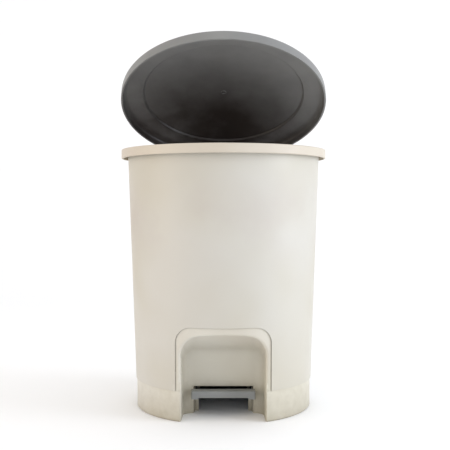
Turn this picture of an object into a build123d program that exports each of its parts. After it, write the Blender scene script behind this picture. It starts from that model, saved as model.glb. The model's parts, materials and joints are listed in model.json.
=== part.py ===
"""Pedal trash can: tapered body, rim ring, bucket, lid, and the linkage from pedal to lid.

Frame: the origin is on the floor at the centre of the foot ring, +Z up, the pedal towards -Y,
the lid hinge towards +Y. Millimetres. The lid is modelled part open, with the pedal part pressed.
"""
from build123d import *
from math import asin, atan, cos, degrees, hypot, radians, sin, sqrt
import os

# Body and rim
height = 369.0            # floor to the top face of the rim ring
body_top_radius = 138.4   # outside of the body just under the rim
body_taper = 11.0         # radius lost from there down to the base seam
body_wall = 2.2
rim_overhang = 9.6        # rim ring beyond the body
rim_band = 12.6           # height of the rim ring's outer skirt
rim_wall = 2.4

# Base moulding
seam_height = 41.0        # floor to the seam between base and body
base_foot_inset = 1.7     # base band at the floor, in from the body's foot
base_step = 1.4           # how far the base stands in from the body at the seam
base_wall = 2.5
seam_gap = 0.35           # width of the seam line
neck_height = 9.0         # part of the base that reaches up inside the body
deck_thickness = 2.5
fit_gap = 0.3             # clearance of the neck inside the body

# Arch and toe recess in the front of the base
recess_half_width = 57.4
recess_height = 122.0     # ceiling of the recess at its mouth plane
recess_corner = 24.0
recess_taper = 2.0        # how much narrower its back is, each side
recess_back_height = 88.0
recess_back_y = -64.0
mouth_gap = 9.3           # mouth plane in front of the base band
arch_border = 6.5         # flat border beside the recess
arch_border_top = 5.2     # and above it
arch_corner = 21.0
recess_fillet = 14.0
recess_lip = 3.6          # rounding of the recess mouth
pocket_half_width = 42.6
pocket_taper = 3.0        # how much narrower its back is, each side
pocket_height = 37.8
pocket_depth = 13.0
opening_half_width = 35.0
opening_shoulder = 24.0   # above this height the opening is as wide as the pocket's back
opening_drop = 0.6        # top of the opening below the pocket ceiling

# Lid, measured closed
lid_gap = 0.9             # lid skirt outside the rim ring
lid_skirt = 15.2
lid_lip_drop = 5.0        # lip of the closed lid below the rim's top face
lid_wall = 2.4
lid_edge = 3.8            # rounding between skirt and top
lid_cove = 7.0            # the same corner inside the lid
lid_ring_inset = 31.8     # step ring in from the lid's edge
lid_step = 3.2
lid_step_round = 1.2      # rounding of the step inside the lid
lid_rise = 3.7            # rise of the top from the skirt's edge to the step ring
lid_dome = 5.8            # rise of the dome inside the step ring
gate_mark_radius = 4.5    # moulding mark in the middle of the lid's underside
gate_mark_depth = 0.7
lid_open_now = 28.4       # degrees
lid_open_full = 70.0      # degrees

# Lid hinge
hinge_overhang = 4.0      # hinge axis behind the rim ring
hinge_drop = 6.0          # hinge axis below the rim's top face
hinge_pin_radius = 2.0
knuckle_radius = 4.5
lug_inner = 11.0          # each rim lug runs from here ...
lug_width = 9.0           # ... for this far along X
ear_width = 10.0
ear_gap = 0.4
pin_fit = 0.05            # radial clearance of every turning pin

# Linkage
crank_radius = 26.0
crank_pin_radius = 2.0
cheek_thickness = 2.5
cheek_round = 4.3
eye_thickness = 4.0
eye_wall = 2.0
eye_clear = 0.15          # clearance of a pin in its slot, beyond what its arc needs
eye_socket = 7.0
bush_wall = 2.0
guide_drop = 68.0         # rim's top face down to the rod guide
guide_reach = 5.5         # rod guide in front of the rod's axis
side_gap = 0.5
web_thickness = 5.0
rod_radius = 2.5
rod_set_in = 0.75         # rod axis in from the middle of the crank pin's arc
axle_y = 3.0
axle_z = 24.0
axle_radius = 3.0
lever_pin_radius = 2.0
lever_thickness = 2.5
lever_drop = 5.0          # lever's top face below the tread's top
lever_half_width = 33.0
tail_half_width = 12.0

# Pedal tread
tread_half_width = 44.0
tread_reach = 21.0        # tread's front edge before the recess's back wall
tread_depth = 16.0
tread_top = 35.2
tread_thickness = 9.3
tread_end_drop = 2.0      # how much deeper the ends hang
tread_end_width = 10.0
tread_edge = 1.8

# Bucket and handle
ledge_depth = 23.0        # rim's top face down to the bucket ledge
bucket_fit = 1.14         # bucket flange inside the rim's inner wall
bucket_taper = 10.0       # radius lost from the bucket's top to its foot
bucket_wall = 1.8
bucket_gap = 3.5          # bucket's wall in from the rod guide
bucket_floor_gap = 3.5    # bucket's underside above the deck
bucket_clear = 5.0        # bucket to the back of the toe recess
ledge_gap = 1.2           # rim's ledge edge outside the bucket's wall
bail_outset = 9.0         # handle wire outside the bucket's wall
bail_wire_radius = 1.75
bail_grip_radius = 4.0
bail_lift = 4.5           # wire axis above the bucket flange

# Trim
pad_radius = 6.0
pad_height = 4.0
pad_inset = 13.7          # pads' centres in from the base band's outside
buffer_radius = 5.0
buffer_gap = 0.3          # closed lid above the rubber buffers
screw_head = 3.5
screw_shank = 1.6
screw_head_height = 1.6
clip_thickness = 1.4
clip_wall = 2.6
clip_gap = 0.3

# Values worked out from the driving dimensions
body_foot_radius = body_top_radius - body_taper
draft = body_taper / (height - rim_band - seam_height)
rim_radius = body_top_radius + rim_overhang
base_foot_radius = body_foot_radius - base_foot_inset
lid_lip_radius = rim_radius + lid_gap + lid_wall
lid_ring_radius = lid_lip_radius - lid_ring_inset
hinge_y = rim_radius + hinge_overhang
hinge_z = height - hinge_drop
recess_mouth_y = -base_foot_radius - mouth_gap
recess_back_half_width = recess_half_width - recess_taper
arch_half_width = recess_half_width + arch_border
arch_height = recess_height + arch_border_top
pocket_back_half_width = pocket_half_width - pocket_taper
tread_front_y = recess_back_y - tread_reach
deck_z = seam_height + neck_height
deck_top = deck_z + deck_thickness
ledge_z = height - ledge_depth
guide_height = height - guide_drop
pad_circle = base_foot_radius - pad_inset
half_swing = radians(lid_open_full) / 2
rod_stroke = 2 * crank_radius * sin(half_swing)
rod_per_radian = rod_stroke / (2 * half_swing)
rod_now = rod_per_radian * (radians(lid_open_now) - half_swing)
notch_half_width = eye_thickness / 2 + side_gap + cheek_thickness + 3.0


def body_radius(z):
    """Outer radius of the body at a height."""
    return body_foot_radius + draft * (z - seam_height)


def base_radius(z):
    """Outer radius of the base moulding at a height."""
    at_seam = body_foot_radius - base_step
    if z < seam_height:
        return base_foot_radius + (at_seam - base_foot_radius) * z / seam_height
    return at_seam + draft * (z - seam_height)


crank_middle = hinge_y - crank_radius * (1 + cos(half_swing)) / 2
rod_inset = body_radius(hinge_z) - body_wall - crank_middle + rod_set_in
rim_wall_radius = body_radius(ledge_z) - body_wall - fit_gap   # outside of the rim's inner wall
bucket_flange_radius = rim_wall_radius - rim_wall - bucket_fit


def rod_y(z):
    """Y of the rod axis at a height; the rod runs parallel to the body's back wall."""
    return body_radius(z) - body_wall - rod_inset


bucket_top_radius = rod_y(ledge_z) - guide_reach - bucket_gap
bucket_foot_radius = bucket_top_radius - bucket_taper
bail_radius = bucket_top_radius + bail_outset
head_z = hinge_z + rod_now
foot_z = axle_z + rod_now
lever_radius = rod_y(axle_z) - axle_y
lever_swing = 2 * asin(rod_stroke / 2 / lever_radius)
lever_top = tread_top - lever_drop
bail_z = ledge_z + bucket_wall + bail_lift
web_inner = lever_half_width + side_gap
axle_clip_x = web_inner + web_thickness + clip_gap
hinge_clip_x = lug_inner + lug_width + ear_gap + ear_width + clip_gap
pad_angles = [35.0, 145.0, 215.0, 325.0]
base_screw_angles = [20.0, 60.0, 120.0, 160.0]
stand = (Align.CENTER, Align.CENTER, Align.MIN)


def head_offset(angle):
    """How far the crank pin is off the rod's line, along Y, at an angle from its middle position."""
    pin = hinge_y - crank_radius * cos(angle)
    return pin - rod_y(head_z) - draft * (rod_per_radian * angle - rod_now)


def foot_offset(angle):
    """The same for the lever pin."""
    pin = axle_y + lever_radius * cos(angle)
    return pin - rod_y(foot_z) - draft * (lever_radius * sin(angle) - rod_now)


head_reach = crank_pin_radius + eye_clear + max(abs(head_offset(a)) for a in (-half_swing, 0, half_swing))
foot_reach = lever_pin_radius + eye_clear + max(
    abs(foot_offset(a)) for a in (-lever_swing / 2, 0, lever_swing / 2))
peak = sqrt(1 - (rod_per_radian / crank_radius) ** 2)
arc_error = crank_radius * peak - rod_per_radian * asin(peak)
head_slot = crank_pin_radius + eye_clear + arc_error + draft * head_reach
foot_slot = lever_pin_radius + eye_clear + draft * foot_reach
foot_start = foot_slot + 0.6
head_start = cheek_round + arc_error + side_gap


def spin(points):
    """Solid of revolution about Z from (radius, height) points."""
    return revolve(make_face(Plane.XZ * Polyline(*points, close=True)), Axis.Z)


def block(x, y, z):
    """Box between three pairs of limits, given in either order."""
    size = [abs(one - other) for one, other in (x, y, z)]
    centre = [(one + other) / 2 for one, other in (x, y, z)]
    return Pos(*centre) * Box(*size)


def bar_x(x0, x1, y, z, radius):
    """Cylinder along X between x0 and x1."""
    return Pos((x0 + x1) / 2, y, z) * Rot(0, 90, 0) * Cylinder(radius, abs(x1 - x0))


def side_profile(points, x0, x1):
    """Prism along X from (y, z) points."""
    face = make_face(Plane.YZ * Polyline(*points, close=True))
    return Pos(min(x0, x1), 0, 0) * extrude(face, abs(x1 - x0), dir=(1, 0, 0))


def arch_face(half_width, top, corner, y, bottom=-10.0):
    """Face at a given Y: straight sides, flat top, round upper corners."""
    side = top - corner
    inner = half_width - corner
    reach = corner * sqrt(0.5)
    path = (Polyline((-inner, top), (inner, top))
            + ThreePointArc((inner, top), (inner + reach, side + reach), (half_width, side))
            + Polyline((half_width, side), (half_width, bottom), (-half_width, bottom),
                       (-half_width, side))
            + ThreePointArc((-half_width, side), (-inner - reach, side + reach), (-inner, top)))
    plane = Plane(origin=(0, y, 0), x_dir=(1, 0, 0), z_dir=(0, -1, 0))
    return make_face(plane * path)


def swing(shape, degrees_open):
    """Turn a closed-pose piece about the lid hinge; opening lifts the front."""
    return shape.rotate(Axis((0, hinge_y, hinge_z), (-1, 0, 0)), degrees_open)


def body_shell():
    """Tapered casing with the arch cut out of its front."""
    low = seam_height + seam_gap
    top = height - rim_wall
    shell = spin([(body_radius(low), low), (body_radius(top), top),
                  (body_radius(top) - body_wall, top), (body_radius(low) - body_wall, low)])
    arch = arch_face(arch_half_width + seam_gap, arch_height + seam_gap, arch_corner + seam_gap, 0)
    shell -= extrude(arch, body_top_radius * 1.2, dir=(0, -1, 0))
    for angle in base_screw_angles:
        shell -= base_screw(angle)
    return shell


def recess_void(grow=0.0):
    """Toe recess, or the same shape grown by a wall."""
    mouth = arch_face(recess_half_width + grow, recess_height + grow, recess_corner + grow,
                      recess_mouth_y)
    back = arch_face(recess_back_half_width + grow, recess_back_height + grow,
                     recess_corner * 0.7 + grow, recess_back_y + grow)
    void = loft([mouth, back])
    rear = void.edges().group_by(Axis.Y)[-1].filter_by(lambda edge: edge.center().Z > 0)
    return fillet(rear, recess_fillet + grow)


def pocket_void(grow=0.0):
    """Pocket behind the recess that the pedal bar moves in, or the same shape grown by a wall."""
    front = recess_back_y - 6.0
    back = recess_back_y + pocket_depth + grow
    outline = make_face(Polyline((-pocket_half_width - grow, front), (pocket_half_width + grow, front),
                                 (pocket_back_half_width + grow, back),
                                 (-pocket_back_half_width - grow, back), close=True))
    return Pos(0, 0, -10.0) * extrude(outline, pocket_height + grow + 10.0)


def base_screw(angle):
    """Screw along a radius through the body wall into the neck, its head let into the body."""
    z = seam_height + neck_height / 2
    surface = body_radius(z)
    length = body_wall + base_wall
    shank = Pos(surface - length / 2, 0, z) * Rot(0, 90, 0) * Cylinder(screw_shank, length)
    head = Pos(surface + screw_head_height / 4, 0, z) * Rot(0, 90, 0)
    head *= Cylinder(screw_head, screw_head_height)
    return Rot(0, 0, angle) * (shank + head)


def axle_webs():
    """Two webs under the deck that hold the pedal axle."""
    webs = []
    for side in (1, -1):
        near, far = side * web_inner, side * (web_inner + web_thickness)
        profile = [(axle_y - 22.0, deck_z + 1.0), (axle_y + 22.0, deck_z + 1.0),
                   (axle_y + 8.0, axle_z - 7.0), (axle_y - 8.0, axle_z - 7.0)]
        webs.append(side_profile(profile, near, far))
    return webs


def base_tray():
    """Base band, neck, deck, arch panel, toe recess, pedal pocket and axle webs in one moulding."""
    neck = body_radius(seam_height) - body_wall - fit_gap
    neck_top = body_radius(deck_top) - body_wall - fit_gap
    band = spin([(base_radius(0) - 1.5, 0), (base_radius(1.5), 1.5), (base_radius(seam_height), seam_height),
                 (neck, seam_height), (neck_top, deck_top), (0, deck_top), (0, deck_z),
                 (neck - base_wall, deck_z), (base_radius(0) - base_wall, 0)])
    top = arch_height + 20.0
    outside = spin([(0, 0), (base_radius(0) - 1.5, 0), (base_radius(1.5), 1.5),
                    (base_radius(seam_height), seam_height),
                    (base_radius(top), top), (0, top)])
    arch = extrude(arch_face(arch_half_width, arch_height, arch_corner, 0), 150.0, dir=(0, -1, 0))
    inside = spin([(0, -1), (base_radius(0) - base_wall, -1),
                   (base_radius(seam_height) - base_wall, seam_height),
                   (base_radius(top) - base_wall, top), (0, top)])
    front = (outside & arch) - recess_void()
    front = fillet([edge for edge in front.edges() if on_mouth(edge)], recess_lip)
    walls = (outside - inside) + recess_void(base_wall)
    band -= recess_void(base_wall * 0.5)
    tray = band + (front & walls) + pocket_void(base_wall)
    tray -= block((-200, 200), (-200, 200), (-20, 0))
    tray = tray - recess_void() - pocket_void()
    opening = (recess_back_y, recess_back_y + 30.0)
    tray -= block((-opening_half_width, opening_half_width), opening, (-10, pocket_height - opening_drop))
    tray -= block((-pocket_back_half_width, pocket_back_half_width), opening,
                  (opening_shoulder, pocket_height - opening_drop))
    for web in axle_webs():
        tray += web
    for angle in pad_angles:
        rib = block((-pad_radius, pad_radius), (-1.5, 1.5), (pad_height, deck_z + 1))
        post = Pos(pad_circle, 0, 0) * rib
        post += Pos(pad_circle, 0, pad_height) * Cylinder(pad_radius, 2.5, align=stand)
        tray += Rot(0, 0, angle) * post
    tray -= bar_x(-60, 60, axle_y, axle_z, axle_radius)
    tray -= Pos(0, rod_y(deck_z), deck_z) * Cylinder(rod_radius + bush_wall, 20)
    for angle in base_screw_angles:
        tray -= base_screw(angle)
    return tray


def on_mouth(edge):
    """True for the edges where the recess meets the outer face of the base."""
    for along in (0.1, 0.5, 0.9):
        point = edge @ along
        inside_arch = abs(point.X) < recess_half_width + 1.0 and point.Y < recess_back_y - 20
        if not inside_arch or abs(hypot(point.X, point.Y) - base_radius(point.Z)) > 0.3:
            return False
        if point.Z > recess_height:
            return False
    return True


def rim_ring():
    """Ring that caps the body: outer skirt, top face, inner wall, bucket ledge and hinge lugs."""
    inner_wall = rim_wall_radius
    ledge_edge = bucket_top_radius + ledge_gap
    low = height - rim_band
    ring = spin([(rim_radius, height), (rim_radius, low), (rim_radius - rim_wall, low),
                 (rim_radius - rim_wall, height - rim_wall), (inner_wall, height - rim_wall),
                 (inner_wall, ledge_z - rim_wall), (ledge_edge, ledge_z - rim_wall),
                 (ledge_edge, ledge_z), (inner_wall - rim_wall, ledge_z), (inner_wall - rim_wall, height)])
    outer_top = ring.edges().filter_by(GeomType.CIRCLE).filter_by(
        lambda edge: abs(edge.radius - rim_radius) < 0.01)
    ring = fillet(outer_top, rim_wall * 0.45)
    for side in (1, -1):
        near, far = side * lug_inner, side * (lug_inner + lug_width)
        lug = block((near, far), (rim_radius - 2.4, hinge_y),
                    (hinge_z - knuckle_radius, hinge_z + knuckle_radius))
        ring += lug + bar_x(near, far, hinge_y, hinge_z, knuckle_radius)
    ring -= bar_x(-40, 40, hinge_y, hinge_z, hinge_pin_radius)
    ring -= block((-notch_half_width, notch_half_width), (bucket_top_radius - 10, hinge_y - 12),
                  (ledge_z - 10, height + 1))
    return ring


def lid_buffers():
    """Two rubber studs on the rim ring under the closed lid."""
    tall = lid_skirt - lid_wall - lid_lip_drop - buffer_gap
    studs = []
    for angle in (38.0, 142.0):
        stud = Pos(rim_radius - 10, 0, height) * Cylinder(buffer_radius, tall, align=stand)
        studs.append(Rot(0, 0, angle) * stud)
    return Compound(studs)


def bucket_step(grow):
    """Space cleared for the toe recess at the front of the bucket, plus a growth."""
    clear = base_wall + bucket_clear + grow
    slope = (recess_height - recess_back_height) / (recess_back_y - recess_mouth_y)
    back = recess_back_y + clear
    top = recess_back_height + clear
    front = -body_top_radius
    return side_profile([(front, 0), (back, 0), (back, top), (front, top + slope * (back - front))],
                        -body_top_radius, body_top_radius)


def inner_bucket():
    """Lift-out bucket: tapered wall, floor, stepped front, flange and two handle ears."""
    low = deck_top + bucket_floor_gap
    top = ledge_z + bucket_wall
    outer_radius = bucket_flange_radius
    outside = spin([(0, low), (bucket_foot_radius, low), (bucket_top_radius, ledge_z),
                    (outer_radius, ledge_z), (outer_radius, top), (0, top)])
    hollow = spin([(0, low + bucket_wall), (bucket_foot_radius - bucket_wall, low + bucket_wall),
                   (bucket_top_radius - bucket_wall, top), (0, top)])
    bucket = (outside - bucket_step(0)) - (hollow - bucket_step(bucket_wall))
    bucket -= block((-notch_half_width - 1, notch_half_width + 1),
                    (bucket_top_radius + 0.8, outer_radius + 1), (ledge_z - 1, top + 1))
    for side in (1, -1):
        near, far = side * (bail_radius - 7), side * (bail_radius - 3.5)
        bucket += block((near, far), (-4.5, 4.5), (top, bail_z + 4))
    bucket -= bar_x(-bail_radius, bail_radius, 0, bail_z, bail_wire_radius + pin_fit)
    return bucket


def bail_wire():
    """Half hoop of wire that lies over the flange, its ends turned into the ears."""
    hoop = Pos(0, 0, bail_z) * Torus(bail_radius, bail_wire_radius)
    hoop &= block((-200, 200), (-200, 0), (bail_z - 20, bail_z + 20))
    for side in (1, -1):
        near, far = side * (bail_radius - 9), side * bail_radius
        hoop += bar_x(near, far, 0, bail_z, bail_wire_radius)
        hoop += Pos(side * bail_radius, 0, bail_z) * Sphere(bail_wire_radius)
    return hoop


def bail_grip():
    """Plastic sleeve round the middle of the bail."""
    sleeve = Torus(bail_radius, bail_grip_radius) - Torus(bail_radius, bail_wire_radius)
    wedge = make_face(Polyline((0, 0), (-bail_radius * 0.4, -200), (bail_radius * 0.4, -200), close=True))
    sector = Pos(0, 0, -10) * extrude(wedge, 20)
    return Pos(0, 0, bail_z) * (sleeve & sector)


def lid_section(inset):
    """(radius, height) outline of the lid's upper surface, moved in by a wall."""
    lip = height - lid_lip_drop
    edge = lip + lid_skirt - inset
    step_in = lid_ring_radius - lid_step * 0.6
    sphere = (step_in ** 2 + lid_dome ** 2) / (2 * lid_dome)
    raised = edge + lid_rise + lid_step
    middle = raised + lid_dome - sphere + sqrt(sphere ** 2 - (step_in / 2) ** 2)
    skirt = Polyline((lid_lip_radius - inset, lip), (lid_lip_radius - inset, edge),
                     (lid_ring_radius, edge + lid_rise), (step_in, raised))
    dome = ThreePointArc((step_in, raised), (step_in / 2, middle), (0, raised + lid_dome))
    return skirt, dome, (lid_lip_radius - inset, lip), (0, raised + lid_dome)


def lid_under(radius):
    """Height of the closed lid's underside between the skirt and the step ring."""
    skirt_inside = lid_lip_radius - lid_wall
    slope = lid_rise / (skirt_inside - lid_ring_radius)
    return height - lid_lip_drop + lid_skirt - lid_wall + slope * (skirt_inside - radius)


def lid_disc():
    """The closed lid without its hinge ears."""
    outer_line, outer_dome, outer_lip, outer_top = lid_section(0)
    inner_line, inner_dome, inner_lip, inner_top = lid_section(lid_wall)
    outline = (outer_line + outer_dome + Line(outer_top, inner_top) + inner_dome + inner_line
               + Line(inner_lip, outer_lip))
    lid = revolve(make_face(Plane.XZ * outline), Axis.Z)
    lid_top = height - lid_lip_drop + lid_skirt
    corner = lid.edges().filter_by(GeomType.CIRCLE).filter_by(
        lambda edge: abs(edge.radius - lid_lip_radius) < 0.01 and edge.center().Z > lid_top - 0.01)
    lid = fillet(corner, lid_edge)
    inner_corner = lid.edges().filter_by(GeomType.CIRCLE).filter_by(
        lambda edge: abs(edge.radius - lid_lip_radius + lid_wall) < 0.01
        and abs(edge.center().Z - lid_top + lid_wall) < 0.01)
    lid = fillet(inner_corner, lid_cove)
    step_edge = lid.edges().filter_by(GeomType.CIRCLE).filter_by(
        lambda edge: abs(edge.radius - lid_ring_radius) < 0.01
        and edge.center().Z < lid_top + lid_rise - lid_wall / 2)
    lid = fillet(step_edge, lid_step_round)
    under = inner_top[1] - gate_mark_depth
    mark = Pos(0, 0, under) * Cylinder(gate_mark_radius, gate_mark_depth + 0.5, align=stand)
    mark -= Pos(0, 0, under - 0.1) * Cylinder(gate_mark_radius * 0.6, gate_mark_depth, align=stand)
    return lid + mark


def lid_shell():
    """Domed lid with its skirt, the step ring and two hinge ears."""
    lid = lid_disc()
    lid_top = height - lid_lip_drop + lid_skirt
    reach = lug_inner + lug_width + ear_gap
    clear = hinge_clip_x + clip_thickness + 2
    lid -= block((-clear, clear), (hinge_y - 12, hinge_y + 12),
                 (hinge_z - 5, hinge_z + knuckle_radius + 1))
    for side in (1, -1):
        near, far = side * reach, side * (reach + ear_width)
        ear = side_profile([(hinge_y - knuckle_radius, hinge_z), (hinge_y + knuckle_radius, hinge_z),
                            (hinge_y + 2.5, lid_top - 4), (hinge_y - 3, lid_top - 1.5),
                            (hinge_y - 5, lid_top - 1.5)], near, far)
        lid += ear + bar_x(near, far, hinge_y, hinge_z, knuckle_radius)
    lid -= bar_x(-40, 40, hinge_y, hinge_z, hinge_pin_radius + pin_fit)
    lid -= crank_screw_solid()
    return swing(lid, lid_open_now)


def crank_point():
    """(y, z) of the crank pin with the lid closed."""
    return hinge_y - crank_radius * cos(half_swing), hinge_z - crank_radius * sin(half_swing)


crank_plate_low = lid_under(hinge_y - 12) - 2.0


def crank_screw_solid():
    """Two screws through the crank's plate into the lid, lid closed."""
    low = crank_plate_low
    screws = []
    for x in (-10.0, 10.0):
        length = lid_under(hinge_y - 17) + lid_wall * 0.6 - low
        shank = Pos(x, hinge_y - 17, low) * Cylinder(screw_shank, length, align=stand)
        head = Pos(x, hinge_y - 17, low - screw_head_height)
        screws.append(shank + head * Cylinder(screw_head, screw_head_height, align=stand))
    return Compound(screws)


def lid_crank():
    """Fork under the lid: a plate on the lid's underside and two cheeks that hold the crank pin."""
    pin_y, pin_z = crank_point()
    crank = block((-15, 15), (hinge_y - 26, hinge_y - 12), (crank_plate_low, lid_under(hinge_y - 26) + 0.3))
    low = eye_thickness / 2 + side_gap
    for side in (1, -1):
        near, far = side * low, side * (low + cheek_thickness)
        crank += side_profile([(pin_y - cheek_round, pin_z), (pin_y + cheek_round, pin_z),
                               (hinge_y - 15.5, crank_plate_low + 1),
                               (hinge_y - 26, crank_plate_low + 1)], near, far)
        crank += bar_x(near, far, pin_y, pin_z, cheek_round)
    crank -= bar_x(-9, 9, pin_y, pin_z, crank_pin_radius)
    crank = crank - crank_screw_solid() - lid_disc()
    return swing(crank, lid_open_now)


def crank_pin():
    """Cross pin of the crank with a small head at each end."""
    pin_y, pin_z = crank_point()
    cheek = eye_thickness / 2 + side_gap + cheek_thickness
    pin = bar_x(-cheek, cheek, pin_y, pin_z, crank_pin_radius)
    for side in (1, -1):
        pin += bar_x(side * cheek, side * (cheek + 1.2), pin_y, pin_z, crank_pin_radius + 1.2)
    return swing(pin, lid_open_now)


def hinge_pin():
    """Steel pin through the rim lugs and the lid ears."""
    half = hinge_clip_x + clip_thickness + 0.8
    return bar_x(-half, half, hinge_y, hinge_z, hinge_pin_radius)


def clips(x, y, z, radius):
    """Two round clips on the ends of a pin, their inner faces at +-x."""
    pair = []
    for side in (1, -1):
        disc = bar_x(side * x, side * (x + clip_thickness), y, z, radius + clip_wall)
        pair.append(disc - bar_x(-x - 10, x + 10, y, z, radius))
    return Compound(pair)


def on_rod(z, shape):
    """Place a shape drawn about the origin on the rod's line at a height, leaning with it."""
    return Pos(0, rod_y(z), z) * Rot(-degrees(atan(draft)), 0, 0) * shape


def slotted_eye(half_length, half_height, start):
    """Flat eye with a slot along Y, and a socket that starts this far above the slot's centre."""
    half = eye_thickness / 2
    body = block((-half, half), (-half_length - eye_wall, half_length + eye_wall),
                 (-half_height - eye_wall, half_height + eye_wall))
    body += block((-half, half), (-rod_radius - 1.5, rod_radius + 1.5), (half_height, start + 1))
    body += Pos(0, 0, start) * Cylinder(rod_radius + 1.5, eye_socket, align=stand)
    body -= Pos(0, 0, start) * Cylinder(rod_radius, eye_socket + 1, align=stand)
    flat = half_length - half_height
    body -= block((-9, 9), (-flat, flat), (-half_height, half_height))
    for side in (1, -1):
        body -= bar_x(-9, 9, side * flat, 0, half_height)
    return body


def rod_head():
    """Eye at the top of the rod; its slot takes up the crank pin's arc."""
    return on_rod(head_z, Rot(180, 0, 0) * slotted_eye(head_reach, head_slot, head_start))


def rod_foot():
    """Eye at the foot of the rod; its slot takes up the lever pin's arc."""
    return on_rod(foot_z, slotted_eye(foot_reach, foot_slot, foot_start))


def push_rod():
    """Steel rod between the two eyes."""
    length = (head_z - foot_z) / cos(atan(draft)) - foot_start - head_start
    return on_rod(foot_z, Pos(0, 0, foot_start) * Cylinder(rod_radius, length, align=stand))


def rod_bush():
    """Guide bush in the deck."""
    bush = Pos(0, rod_y(deck_z), deck_z) * Cylinder(rod_radius + bush_wall, deck_thickness, align=stand)
    bush += Pos(0, rod_y(deck_z), deck_top) * Cylinder(rod_radius + bush_wall + 1.5, 1.5, align=stand)
    return bush - on_rod(deck_z, Cylinder(rod_radius + pin_fit, 30))


def rod_guide():
    """Guide block on the inside of the body's back wall."""
    z = guide_height
    inner = body_wall
    inside = spin([(0, z - 20), (body_radius(z - 20) - inner, z - 20),
                   (body_radius(z + 20) - inner, z + 20), (0, z + 20)])
    guide = block((-9, 9), (rod_y(z) - guide_reach, body_radius(z)), (z - 6, z + 6)) & inside
    return guide - on_rod(z, Cylinder(rod_radius + pin_fit, 40))


def lever_pin_point():
    """(y, z) of the pin at the lever's rear fork in the modelled pose."""
    angle = asin(rod_now / lever_radius)
    return axle_y + lever_radius * cos(angle), axle_z + lever_radius * sin(angle)


def pedal_lever():
    """Pressed steel lever: wide front plate with side flanges, narrow rear fork."""
    top = lever_top
    low = top - lever_thickness
    pin_y, pin_z = lever_pin_point()
    tail_top = pin_z + 5.0
    tail_start = pin_y - 17.0
    side = [(tread_front_y + 7, low), (axle_y + 37, low), (axle_y + 87, tail_top - lever_thickness),
            (tail_start, tail_top - lever_thickness), (tail_start, tail_top), (axle_y + 87, tail_top),
            (axle_y + 37, top), (tread_front_y + 7, top)]
    wide, narrow = lever_half_width, tail_half_width
    outline = make_face(Polyline((-wide, tread_front_y + 7), (wide, tread_front_y + 7), (wide, axle_y + 37),
                                 (narrow, axle_y + 82), (narrow, tail_start), (-narrow, tail_start),
                                 (-narrow, axle_y + 82), (-wide, axle_y + 37), close=True))
    lever = side_profile(side, -wide, wide) & extrude(outline, 60)
    front = tread_front_y + tread_depth + 3
    for sign in (1, -1):
        near, far = sign * (wide - lever_thickness), sign * wide
        lever += side_profile([(front, top), (axle_y + 37, top), (axle_y + 37, low - 3),
                               (axle_y + 9, axle_z - 6), (axle_y - 9, axle_z - 6), (front, low - 2)],
                              near, far)
        near, far = sign * (narrow - lever_thickness), sign * narrow
        lever += side_profile([(tail_start - 15, tail_top), (pin_y + 5, tail_top), (pin_y + 5, pin_z - 4.5),
                               (pin_y - 5, pin_z - 4.5), (tail_start - 15, tail_top - 5)], near, far)
    lever -= bar_x(-40, 40, axle_y, axle_z, axle_radius + pin_fit)
    lever -= bar_x(-20, 20, pin_y, pin_z, lever_pin_radius)
    return lever - tread_screw_solid()


def lever_pin():
    """Pin across the lever's rear fork."""
    pin_y, pin_z = lever_pin_point()
    half = tail_half_width + clip_gap + clip_thickness + 0.8
    return bar_x(-half, half, pin_y, pin_z, lever_pin_radius)


def pedal_axle():
    """Steel axle held in the two webs."""
    half = axle_clip_x + clip_thickness + 1.0
    return bar_x(-half, half, axle_y, axle_z, axle_radius)


def tread_screw_solid():
    """Two screws up through the tread and the lever's plate."""
    screws = []
    for x in (-20.0, 20.0):
        under = Pos(x, tread_front_y + 11.5, tread_top - tread_thickness)
        screws.append(under * Cylinder(screw_shank, 8.0, align=stand)
                      + under * Pos(0, 0, -screw_head_height)
                      * Cylinder(screw_head, screw_head_height, align=stand))
    return Compound(screws)


def pedal_tread():
    """Bar that the foot presses, with deeper ends and a slot for the lever's plate."""
    low = tread_top - tread_thickness
    back = tread_front_y + tread_depth
    bar = block((-tread_half_width, tread_half_width), (tread_front_y, back), (low, tread_top))
    for side in (1, -1):
        near, far = side * (tread_half_width - tread_end_width), side * tread_half_width
        bar += block((near, far), (tread_front_y, back), (low - tread_end_drop, low + 1))
    long_edges = bar.edges().filter_by(Axis.X).filter_by(lambda edge: edge.length > tread_half_width)
    bar = fillet(long_edges.sort_by(Axis.Z)[-2:], tread_edge)
    bar = fillet(bar.edges().filter_by(Axis.Z).filter_by(lambda edge: edge.length > tread_thickness / 2),
                 tread_edge)
    plate = block((-lever_half_width, lever_half_width), (tread_front_y + 7, back + 1),
                  (lever_top - lever_thickness, lever_top))
    return bar - plate - tread_screw_solid()


def foot_pads():
    """Rubber pads under the posts of the base."""
    pads = [Rot(0, 0, angle) * Pos(pad_circle, 0, 0) * Cylinder(pad_radius, pad_height, align=stand)
            for angle in pad_angles]
    return Compound(pads)


def base_screws():
    """Screws through the body into the neck of the base."""
    return Compound([base_screw(angle) for angle in base_screw_angles])


def pin_clips(name):
    """Clips of one pin, by the name of their node."""
    pin_y, pin_z = lever_pin_point()
    places = {"hinge_pin_clips": (hinge_clip_x, hinge_y, hinge_z, hinge_pin_radius),
              "axle_clips": (axle_clip_x, axle_y, axle_z, axle_radius),
              "lever_pin_clips": (tail_half_width + clip_gap, pin_y, pin_z, lever_pin_radius)}
    return clips(*places[name])


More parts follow.
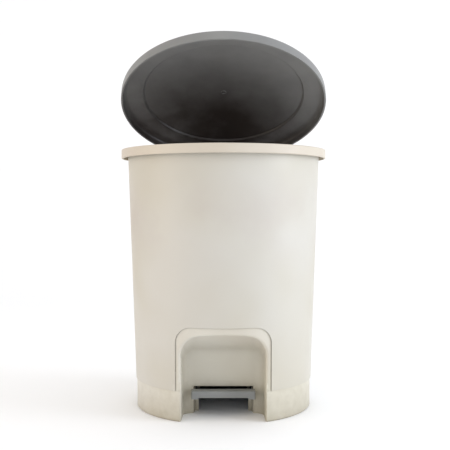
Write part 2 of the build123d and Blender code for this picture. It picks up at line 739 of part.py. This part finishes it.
parts = {
    "body_shell": body_shell(),
    "base_tray": base_tray(),
    "rim_ring": rim_ring(),
    "lid_buffers": lid_buffers(),
    "inner_bucket": inner_bucket(),
    "bail_wire": bail_wire(),
    "bail_grip": bail_grip(),
    "lid_shell": lid_shell(),
    "lid_crank": lid_crank(),
    "crank_screws": swing(crank_screw_solid(), lid_open_now),
    "crank_pin": crank_pin(),
    "hinge_pin": hinge_pin(),
    "hinge_pin_clips": pin_clips("hinge_pin_clips"),
    "push_rod": push_rod(),
    "rod_head": rod_head(),
    "rod_foot": rod_foot(),
    "rod_bush": rod_bush(),
    "rod_guide": rod_guide(),
    "pedal_lever": pedal_lever(),
    "pedal_tread": pedal_tread(),
    "tread_screws": tread_screw_solid(),
    "lever_pin": lever_pin(),
    "lever_pin_clips": pin_clips("lever_pin_clips"),
    "pedal_axle": pedal_axle(),
    "axle_clips": pin_clips("axle_clips"),
    "base_screws": base_screws(),
    "foot_pads": foot_pads(),
}

os.makedirs("parts", exist_ok=True)
for name, shape in parts.items():
    export_step(shape, f"parts/{name}.step")

print("hinge", hinge_y, hinge_z, "pedal axle", axle_y, axle_z)
print("rod line", rod_y(0), draft, "head", head_z, "foot", foot_z, "stroke", rod_stroke)
print("pedal per lid", lever_swing / (2 * half_swing), "rod m/rad",
      rod_per_radian / cos(atan(draft)) / 1000)
print("bail", bail_z, "lever pin", lever_pin_point())
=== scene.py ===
"""Pedal trash can: materials, floor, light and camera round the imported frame."""
import json
import math

import bpy
import numpy as np
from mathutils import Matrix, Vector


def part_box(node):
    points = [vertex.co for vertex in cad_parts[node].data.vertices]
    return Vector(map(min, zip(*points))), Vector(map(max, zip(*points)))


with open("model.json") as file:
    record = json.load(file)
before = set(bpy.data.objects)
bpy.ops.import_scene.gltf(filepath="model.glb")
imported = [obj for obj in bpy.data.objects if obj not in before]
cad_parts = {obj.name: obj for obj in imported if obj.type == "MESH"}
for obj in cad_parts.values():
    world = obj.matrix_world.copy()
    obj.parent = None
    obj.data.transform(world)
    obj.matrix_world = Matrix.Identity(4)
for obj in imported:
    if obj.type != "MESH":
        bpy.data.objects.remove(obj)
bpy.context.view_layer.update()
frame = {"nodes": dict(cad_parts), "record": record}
nodes = frame["nodes"]
scene = bpy.context.scene
MM = 0.001

# The Mix node's sockets for colours, by number: amount, first colour, second colour, result.
AMOUNT, ONE, OTHER, MIXED = 0, 6, 7, 2
# Refractive indices of polypropylene and its kin, and of rubber.
PLASTIC_IOR, RUBBER_IOR = 1.49, 1.52
# Noise runs from 0 to 1. Two tones drift into each other, and gloss varies, between these levels.
TONE_DRIFT, GLOSS_DRIFT = (0.35, 0.65), (0.3, 0.7)


# ---------------------------------------------------------------- helpers for materials

def linear(code):
    """An sRGB hex colour as linear red, green, blue and alpha."""
    channels = np.array([int(code[i:i + 2], 16) for i in (1, 3, 5)]) / 255
    low, high = channels / 12.92, ((channels + 0.055) / 1.055) ** 2.4
    return (*np.where(channels <= 0.04045, low, high), 1.0)


def add(tree, kind, inputs=None, output=0, **settings):
    """Add one shader node and return one of its outputs.

    Settings are the node's own properties; inputs maps a socket's name or number to a value or
    to another node's output. The output node has none of its own.
    """
    node = tree.nodes.new("ShaderNode" + kind)
    for name, setting in settings.items():
        setattr(node, name, setting)
    for name, value in (inputs or {}).items():
        if isinstance(value, bpy.types.NodeSocket):
            tree.links.new(value, node.inputs[name])
        else:
            node.inputs[name].default_value = value
    return node.outputs[output] if node.outputs else None


def start(name):
    """An empty material, its node tree and its Object coordinates, in metres."""
    material = bpy.data.materials.new(name)
    material.use_nodes = True
    material.node_tree.nodes.clear()
    return material, material.node_tree, add(material.node_tree, "TexCoord", output="Object")


def uneven(tree, place, size, levels, values=(0.0, 1.0), detail=2.0, roughness=0.5):
    """An amount that wanders over the surface in patches of a given size.

    Noise between the two levels is spread over the two values, and held to them beyond.
    """
    patches = add(tree, "TexNoise", {"Vector": place, "Scale": 1 / size, "Detail": detail,
                                     "Roughness": roughness})
    return add(tree, "MapRange", {"Value": patches, "From Min": levels[0], "From Max": levels[1],
                                  "To Min": values[0], "To Max": values[1]})


def two_tones(tree, place, size, first, second, detail=3.0, roughness=0.5):
    """A colour that drifts between two hex colours in patches of a given size."""
    amount = uneven(tree, place, size, TONE_DRIFT, detail=detail, roughness=roughness)
    return add(tree, "Mix", {AMOUNT: amount, ONE: linear(first), OTHER: linear(second)}, MIXED,
               data_type="RGBA")


def grained(tree, place, size, depth, detail=2.0):
    """The normal of a surface with a fine grain.

    The grain of a real mould or plating is 0.1 to 0.3 mm; it is drawn coarser so that it shows.
    """
    height = add(tree, "TexNoise", {"Vector": place, "Scale": 1 / size, "Detail": detail})
    return add(tree, "Bump", {"Height": height, "Distance": depth})


def satin_plastic(tree, place, tone, shiny, dull):
    """End a moulded plastic's tree: fine grain, and a gloss that handling has left uneven."""
    normal = grained(tree, place, 0.8 * MM, 0.04 * MM)
    gloss = uneven(tree, place, 30 * MM, GLOSS_DRIFT, (shiny, dull), detail=4.0, roughness=0.6)
    shader = add(tree, "BsdfPrincipled", {"Base Color": tone, "Roughness": gloss,
                                          "IOR": PLASTIC_IOR, "Normal": normal})
    add(tree, "OutputMaterial", {"Surface": shader})


# ---------------------------------------------------------------- materials

def aged_polypropylene(name, fresh, yellowed, cloud, soil_and_shade, cloud_height, soil_height, corner_shade):
    """Injection-moulded polypropylene that has yellowed.

    It is satin and cloudy, with a fine grain from the mould, rubbed pinkish patches, and floor
    dirt that thins upwards in uneven tongues. Corners and seams carry painted shade in the dirt's
    colour. Heights are in metres.
    """
    material, tree, place = start(name)
    z = add(tree, "SeparateXYZ", {"Vector": place}, output="Z")
    # uneven yellowing, in broad patches
    tone = two_tones(tree, place, 170 * MM, fresh, yellowed, detail=2.0)
    # the cloud where the wall has been rubbed, within 70 mm of its height
    middle = add(tree, "Math", {0: z, 1: cloud_height}, operation="SUBTRACT")
    away = add(tree, "Math", {0: middle}, operation="ABSOLUTE")
    near = add(tree, "MapRange", {"Value": away, "From Max": 70 * MM, "To Min": 1.0,
                                  "To Max": 0.0})
    smears = uneven(tree, place, 90 * MM, (0.42, 0.66), (0.0, 0.5), detail=3.0)
    rubbed = add(tree, "Math", {0: near, 1: smears}, operation="MULTIPLY")
    tone = add(tree, "Mix", {AMOUNT: rubbed, ONE: tone, OTHER: linear(cloud)}, MIXED,
               data_type="RGBA")
    # floor dirt, which covers at most 0.45 of the plastic's own tone
    tongues = add(tree, "TexNoise", {"Vector": place, "Scale": 1 / (14 * MM), "Detail": 5.0,
                                     "Roughness": 0.65})
    reach = add(tree, "Math", {0: tongues, 1: soil_height}, operation="MULTIPLY")
    dirt = add(tree, "Math", {0: reach, 1: z}, operation="SUBTRACT")
    dirt = add(tree, "MapRange", {"Value": dirt, "From Min": -0.4 * soil_height,
                                  "From Max": 0.6 * soil_height, "To Max": 0.45})
    tone = add(tree, "Mix", {AMOUNT: dirt, ONE: tone, OTHER: linear(soil_and_shade)}, MIXED,
               data_type="RGBA")
    # painted shade in corners and seams, drawn in the soil colour, reaching about 14 mm out of
    # them
    open_sky = add(tree, "AmbientOcclusion", {"Distance": 14 * MM}, output="AO", samples=4)
    corner = add(tree, "MapRange", {"Value": open_sky, "From Min": 0.25, "From Max": 0.85,
                                    "To Min": corner_shade, "To Max": 0.0})
    tone = add(tree, "Mix", {AMOUNT: corner, ONE: tone, OTHER: linear(soil_and_shade)}, MIXED,
               data_type="RGBA")
    # specks one or two millimetres across
    specks = uneven(tree, place, 3.2 * MM, (0.71, 0.79), (0.0, 0.25), roughness=0.8)
    tone = add(tree, "Mix", {AMOUNT: specks, ONE: tone, OTHER: linear(soil_and_shade)}, MIXED,
               data_type="RGBA")
    # the mould's grain, then the long slow waves of a thin wall, which break up the highlights
    normal = grained(tree, place, 0.9 * MM, 0.03 * MM)
    waves = add(tree, "TexNoise", {"Vector": place, "Scale": 1 / (60 * MM), "Detail": 1.0})
    normal = add(tree, "Bump", {"Height": waves, "Distance": 0.9 * MM, "Normal": normal})
    gloss = uneven(tree, place, 40 * MM, GLOSS_DRIFT, (0.38, 0.52), detail=4.0, roughness=0.6)
    shader = add(tree, "BsdfPrincipled", {"Base Color": tone, "Roughness": gloss,
                                          "IOR": PLASTIC_IOR, "Normal": normal})
    add(tree, "OutputMaterial", {"Surface": shader})
    return material


def moulded_plastic(name, light, dark, rough):
    """Injection-moulded, dyed plastic: satin, slightly uneven in tone, with settled dust."""
    material, tree, place = start(name)
    tone = two_tones(tree, place, 60 * MM, light, dark)
    dust = uneven(tree, place, 2.4 * MM, (0.66, 0.78), (0.0, 0.2), detail=3.0, roughness=0.8)
    tone = add(tree, "Mix", {AMOUNT: dust, ONE: tone, OTHER: linear("#B9B6AE")}, MIXED,
               data_type="RGBA")
    satin_plastic(tree, place, tone, rough - 0.05, rough + 0.06)
    return material


def under_lid(distance=25 * MM):
    """The point so far under the middle of the lid as it stands open, square to its rim."""
    low, high = (np.array(corner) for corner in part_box("lid_shell"))
    joints = frame["record"]["behaviour"]["joints"]
    hinge = next(joint for joint in joints if joint["name"] == "lid_hinge")
    lean = math.radians(-hinge["range_deg"][0])
    return tuple((low + high) / 2 - distance * np.array([0, math.sin(lean), math.cos(lean)]))


def lid_polypropylene(name, light, dark, shade_colour):
    """The lid's grey polypropylene, with painted shade on its inside.

    A dark brown painted over the inside faces gives the shade inside the open lid more depth than
    the lights alone do. It is laid out in the lid's own coordinates, so it stays with the lid at
    every pose.
    """
    material, tree, place = start(name)
    tone = two_tones(tree, place, 60 * MM, light, dark)
    # inside faces look back towards a point under the open lid's middle, outside faces away
    facing = add(tree, "TexCoord", output="Normal")
    from_middle = add(tree, "VectorMath", {0: place, 1: under_lid()}, operation="SUBTRACT")
    outward = add(tree, "VectorMath", {0: from_middle, 1: facing}, output="Value",
                  operation="DOT_PRODUCT")
    inside = add(tree, "MapRange", {"Value": outward, "From Min": -1 * MM, "From Max": -4 * MM})
    # the painted shade is deepest near the hinge and a little to the left, and thinner towards
    # the sides
    across = add(tree, "SeparateXYZ", {"Vector": place}, output="X")
    along = add(tree, "SeparateXYZ", {"Vector": place}, output="Y")
    sideways = add(tree, "Math", {0: across}, operation="ABSOLUTE")
    leftward = add(tree, "Math", {0: across, 1: -0.3, 2: along}, operation="MULTIPLY_ADD")
    depth = add(tree, "Math", {0: sideways, 1: -0.35, 2: leftward}, operation="MULTIPLY_ADD")
    depth = add(tree, "MapRange", {"Value": depth, "From Min": -110 * MM, "From Max": 75 * MM})
    # painted shade, in uneven patches, strongest where it is deepest
    shade_amount = uneven(tree, place, 45 * MM, (0.3, 0.7), (0.85, 1.1), detail=4.0, roughness=0.6)
    shade_amount = add(tree, "Math", {0: shade_amount, 1: depth}, operation="MULTIPLY")
    # only the inside faces take the painted shade
    shaded = add(tree, "Math", {0: inside, 1: shade_amount}, operation="MULTIPLY")
    tone = add(tree, "Mix", {AMOUNT: shaded, ONE: tone, OTHER: linear(shade_colour)}, MIXED,
               data_type="RGBA")
    satin_plastic(tree, place, tone, 0.38, 0.5)
    return material


def finished_steel(name, bright, dull, rough):
    """Plated or blued steel: soft bluish sheen with faint mottling and rubbed high spots."""
    material, tree, place = start(name)
    tone = two_tones(tree, place, 7 * MM, bright, dull, detail=4.0, roughness=0.6)
    gloss = uneven(tree, place, 5 * MM, GLOSS_DRIFT, (rough - 0.08, rough + 0.10), detail=4.0,
                   roughness=0.7)
    normal = grained(tree, place, 0.6 * MM, 0.015 * MM, detail=3.0)
    shader = add(tree, "BsdfPrincipled", {"Base Color": tone, "Metallic": 1.0,
                                          "Roughness": gloss, "Normal": normal})
    add(tree, "OutputMaterial", {"Surface": shader})
    return material


def moulded_rubber(name):
    """Black rubber: matt, with grey dust in its fine grain."""
    material, tree, place = start(name)
    dust = uneven(tree, place, 3 * MM, (0.45, 0.75), (0.0, 0.45), detail=4.0, roughness=0.7)
    tone = add(tree, "Mix", {AMOUNT: dust, ONE: linear("#161616"), OTHER: linear("#3A3936")},
               MIXED, data_type="RGBA")
    normal = grained(tree, place, 0.7 * MM, 0.05 * MM, detail=3.0)
    shader = add(tree, "BsdfPrincipled", {"Base Color": tone, "Roughness": 0.82,
                                          "IOR": RUBBER_IOR, "Normal": normal})
    add(tree, "OutputMaterial", {"Surface": shader})
    return material


# Each material's soil colour also paints shade into its corners and seams, as deep as its last
# number.
casing = aged_polypropylene("aged_polypropylene_casing", "#CCC9C1", "#C5C0B2", "#BDB4AE",
                            "#A0957D", cloud_height=0.27, soil_height=0.03, corner_shade=0.10)
base = aged_polypropylene("aged_polypropylene_base", "#D7D4CA", "#CEC9B9", "#C6BDB2",
                          "#8B7F64", cloud_height=0.11, soil_height=0.05, corner_shade=0.34)
rim = aged_polypropylene("aged_polypropylene_rim", "#D2CBBE", "#CCC2B1", "#C6BAAC",
                         "#AFA28B", cloud_height=0.363, soil_height=0.02, corner_shade=0.15)
# the lid's last colour is the dark brown of the painted shade inside it
lid_grey = lid_polypropylene("moulded_grey_polypropylene", "#898987", "#80807F", "#312A27")
bucket_black = moulded_plastic("moulded_charcoal_polypropylene", "#2E2E2E", "#272727", 0.50)
tread_grey = moulded_plastic("moulded_pedal_abs", "#868887", "#7D7F7E", 0.40)
nylon = moulded_plastic("moulded_dark_nylon", "#3E3E3D", "#343433", 0.42)
acetal = moulded_plastic("moulded_natural_acetal", "#D9D5CA", "#D1CCC0", 0.35)
zinc = finished_steel("zinc_plated_steel", "#C2C6CC", "#A4A8AE", 0.34)
spring = finished_steel("blued_spring_steel", "#6E7076", "#505258", 0.38)
rubber = moulded_rubber("moulded_black_rubber")

finishes = {
    casing: ["body_shell"],
    base: ["base_tray"],
    rim: ["rim_ring"],
    lid_grey: ["lid_shell"],
    bucket_black: ["inner_bucket"],
    tread_grey: ["pedal_tread"],
    nylon: ["lid_crank", "rod_head", "rod_foot", "bail_grip"],
    acetal: ["rod_bush", "rod_guide"],
    zinc: ["pedal_lever", "pedal_axle", "push_rod", "lever_pin", "crank_pin", "hinge_pin",
           "bail_wire", "tread_screws", "crank_screws", "base_screws"],
    spring: ["hinge_pin_clips", "axle_clips", "lever_pin_clips"],
    rubber: ["foot_pads", "lid_buffers"],
}
for material, names in finishes.items():
    for name in names:
        nodes[name].data.materials.clear()
        nodes[name].data.materials.append(material)


# ---------------------------------------------------------------- stage

def backdrop():
    """A pale sweep, in metres: flat floor, a quarter circle, then a wall, the same along X."""
    front, back, bend, top, half, steps = -3.0, 2.2, 0.9, 3.5, 5.0, 25
    turn = np.linspace(0, math.pi / 2, steps)
    y = np.concatenate([[front], back - bend + bend * np.sin(turn), [back]])
    z = np.concatenate([[0.0], bend - bend * np.cos(turn), [top]])
    x = np.array([-half, half])
    grid = np.stack([np.repeat(x, len(y)), np.tile(y, 2), np.tile(z, 2)], axis=1)
    count = len(y)
    rows = np.arange(count - 1)
    faces = np.stack([rows, rows + count, rows + count + 1, rows + 1], axis=1)
    mesh = bpy.data.meshes.new("studio_sweep")
    mesh.from_pydata(grid.tolist(), [], faces.tolist())
    mesh.polygons.foreach_set("use_smooth", [True] * len(faces))
    sweep = bpy.data.objects.new("studio_sweep", mesh)
    scene.collection.objects.link(sweep)
    material, tree, place = start("painted_studio_sweep")
    patches = add(tree, "TexNoise", {"Vector": place, "Scale": 1 / (600 * MM), "Detail": 2.0})
    tone = add(tree, "Mix", {AMOUNT: patches, ONE: linear("#F6F6F6"), OTHER: linear("#FAFAFA")},
               MIXED, data_type="RGBA")
    shader = add(tree, "BsdfPrincipled", {"Base Color": tone, "Roughness": 0.9})
    add(tree, "OutputMaterial", {"Surface": shader})
    mesh.materials.append(material)


def softbox(name, place, aim, width, height, power, colour):
    """A rectangular area light that looks at a point. Sizes are in metres, power in watts."""
    lamp = bpy.data.lights.new(name, "AREA")
    lamp.shape = "RECTANGLE"
    lamp.size, lamp.size_y = width, height
    lamp.energy = power
    lamp.color = linear(colour)[:3]
    light = bpy.data.objects.new(name, lamp)
    scene.collection.objects.link(light)
    x, y, z = np.array(aim) - np.array(place)
    light.location = place
    light.rotation_euler = (math.atan2(math.hypot(x, y), -z), 0, math.atan2(y, x) - math.pi / 2)


backdrop()
softbox("right_softbox", (1.9, -0.55, 0.75), (0, 0, 0.2), 1.1, 1.5, 21, "#EEF4FF")
softbox("left_softbox", (-1.9, -0.75, 0.75), (0, 0, 0.2), 1.1, 1.5, 9, "#FFE2BE")
softbox("top_softbox", (0.3, 0.5, 2.2), (0, 0.4, 0.0), 2.0, 1.6, 6, "#FFFFFF")

air_colour, air_strength = "#FCFDFF", 0.9
world = bpy.data.worlds.new("studio_air")
world.use_nodes = True
background = world.node_tree.nodes["Background"]
background.inputs["Color"].default_value = linear(air_colour)
background.inputs["Strength"].default_value = air_strength
scene.world = world
scene.view_settings.view_transform = "Standard"

# The camera stands in front, a little right of the middle, and looks slightly down.
camera_place, camera_tilt = (0.0022, -1.169, 0.285), 88.8
camera_data = bpy.data.cameras.new("camera")
camera_data.lens = 63.8
camera_data.sensor_width = 36.0
camera = bpy.data.objects.new("camera", camera_data)
camera.location = camera_place
camera.rotation_euler = (math.radians(camera_tilt), 0, 0)
scene.collection.objects.link(camera)
scene.camera = camera
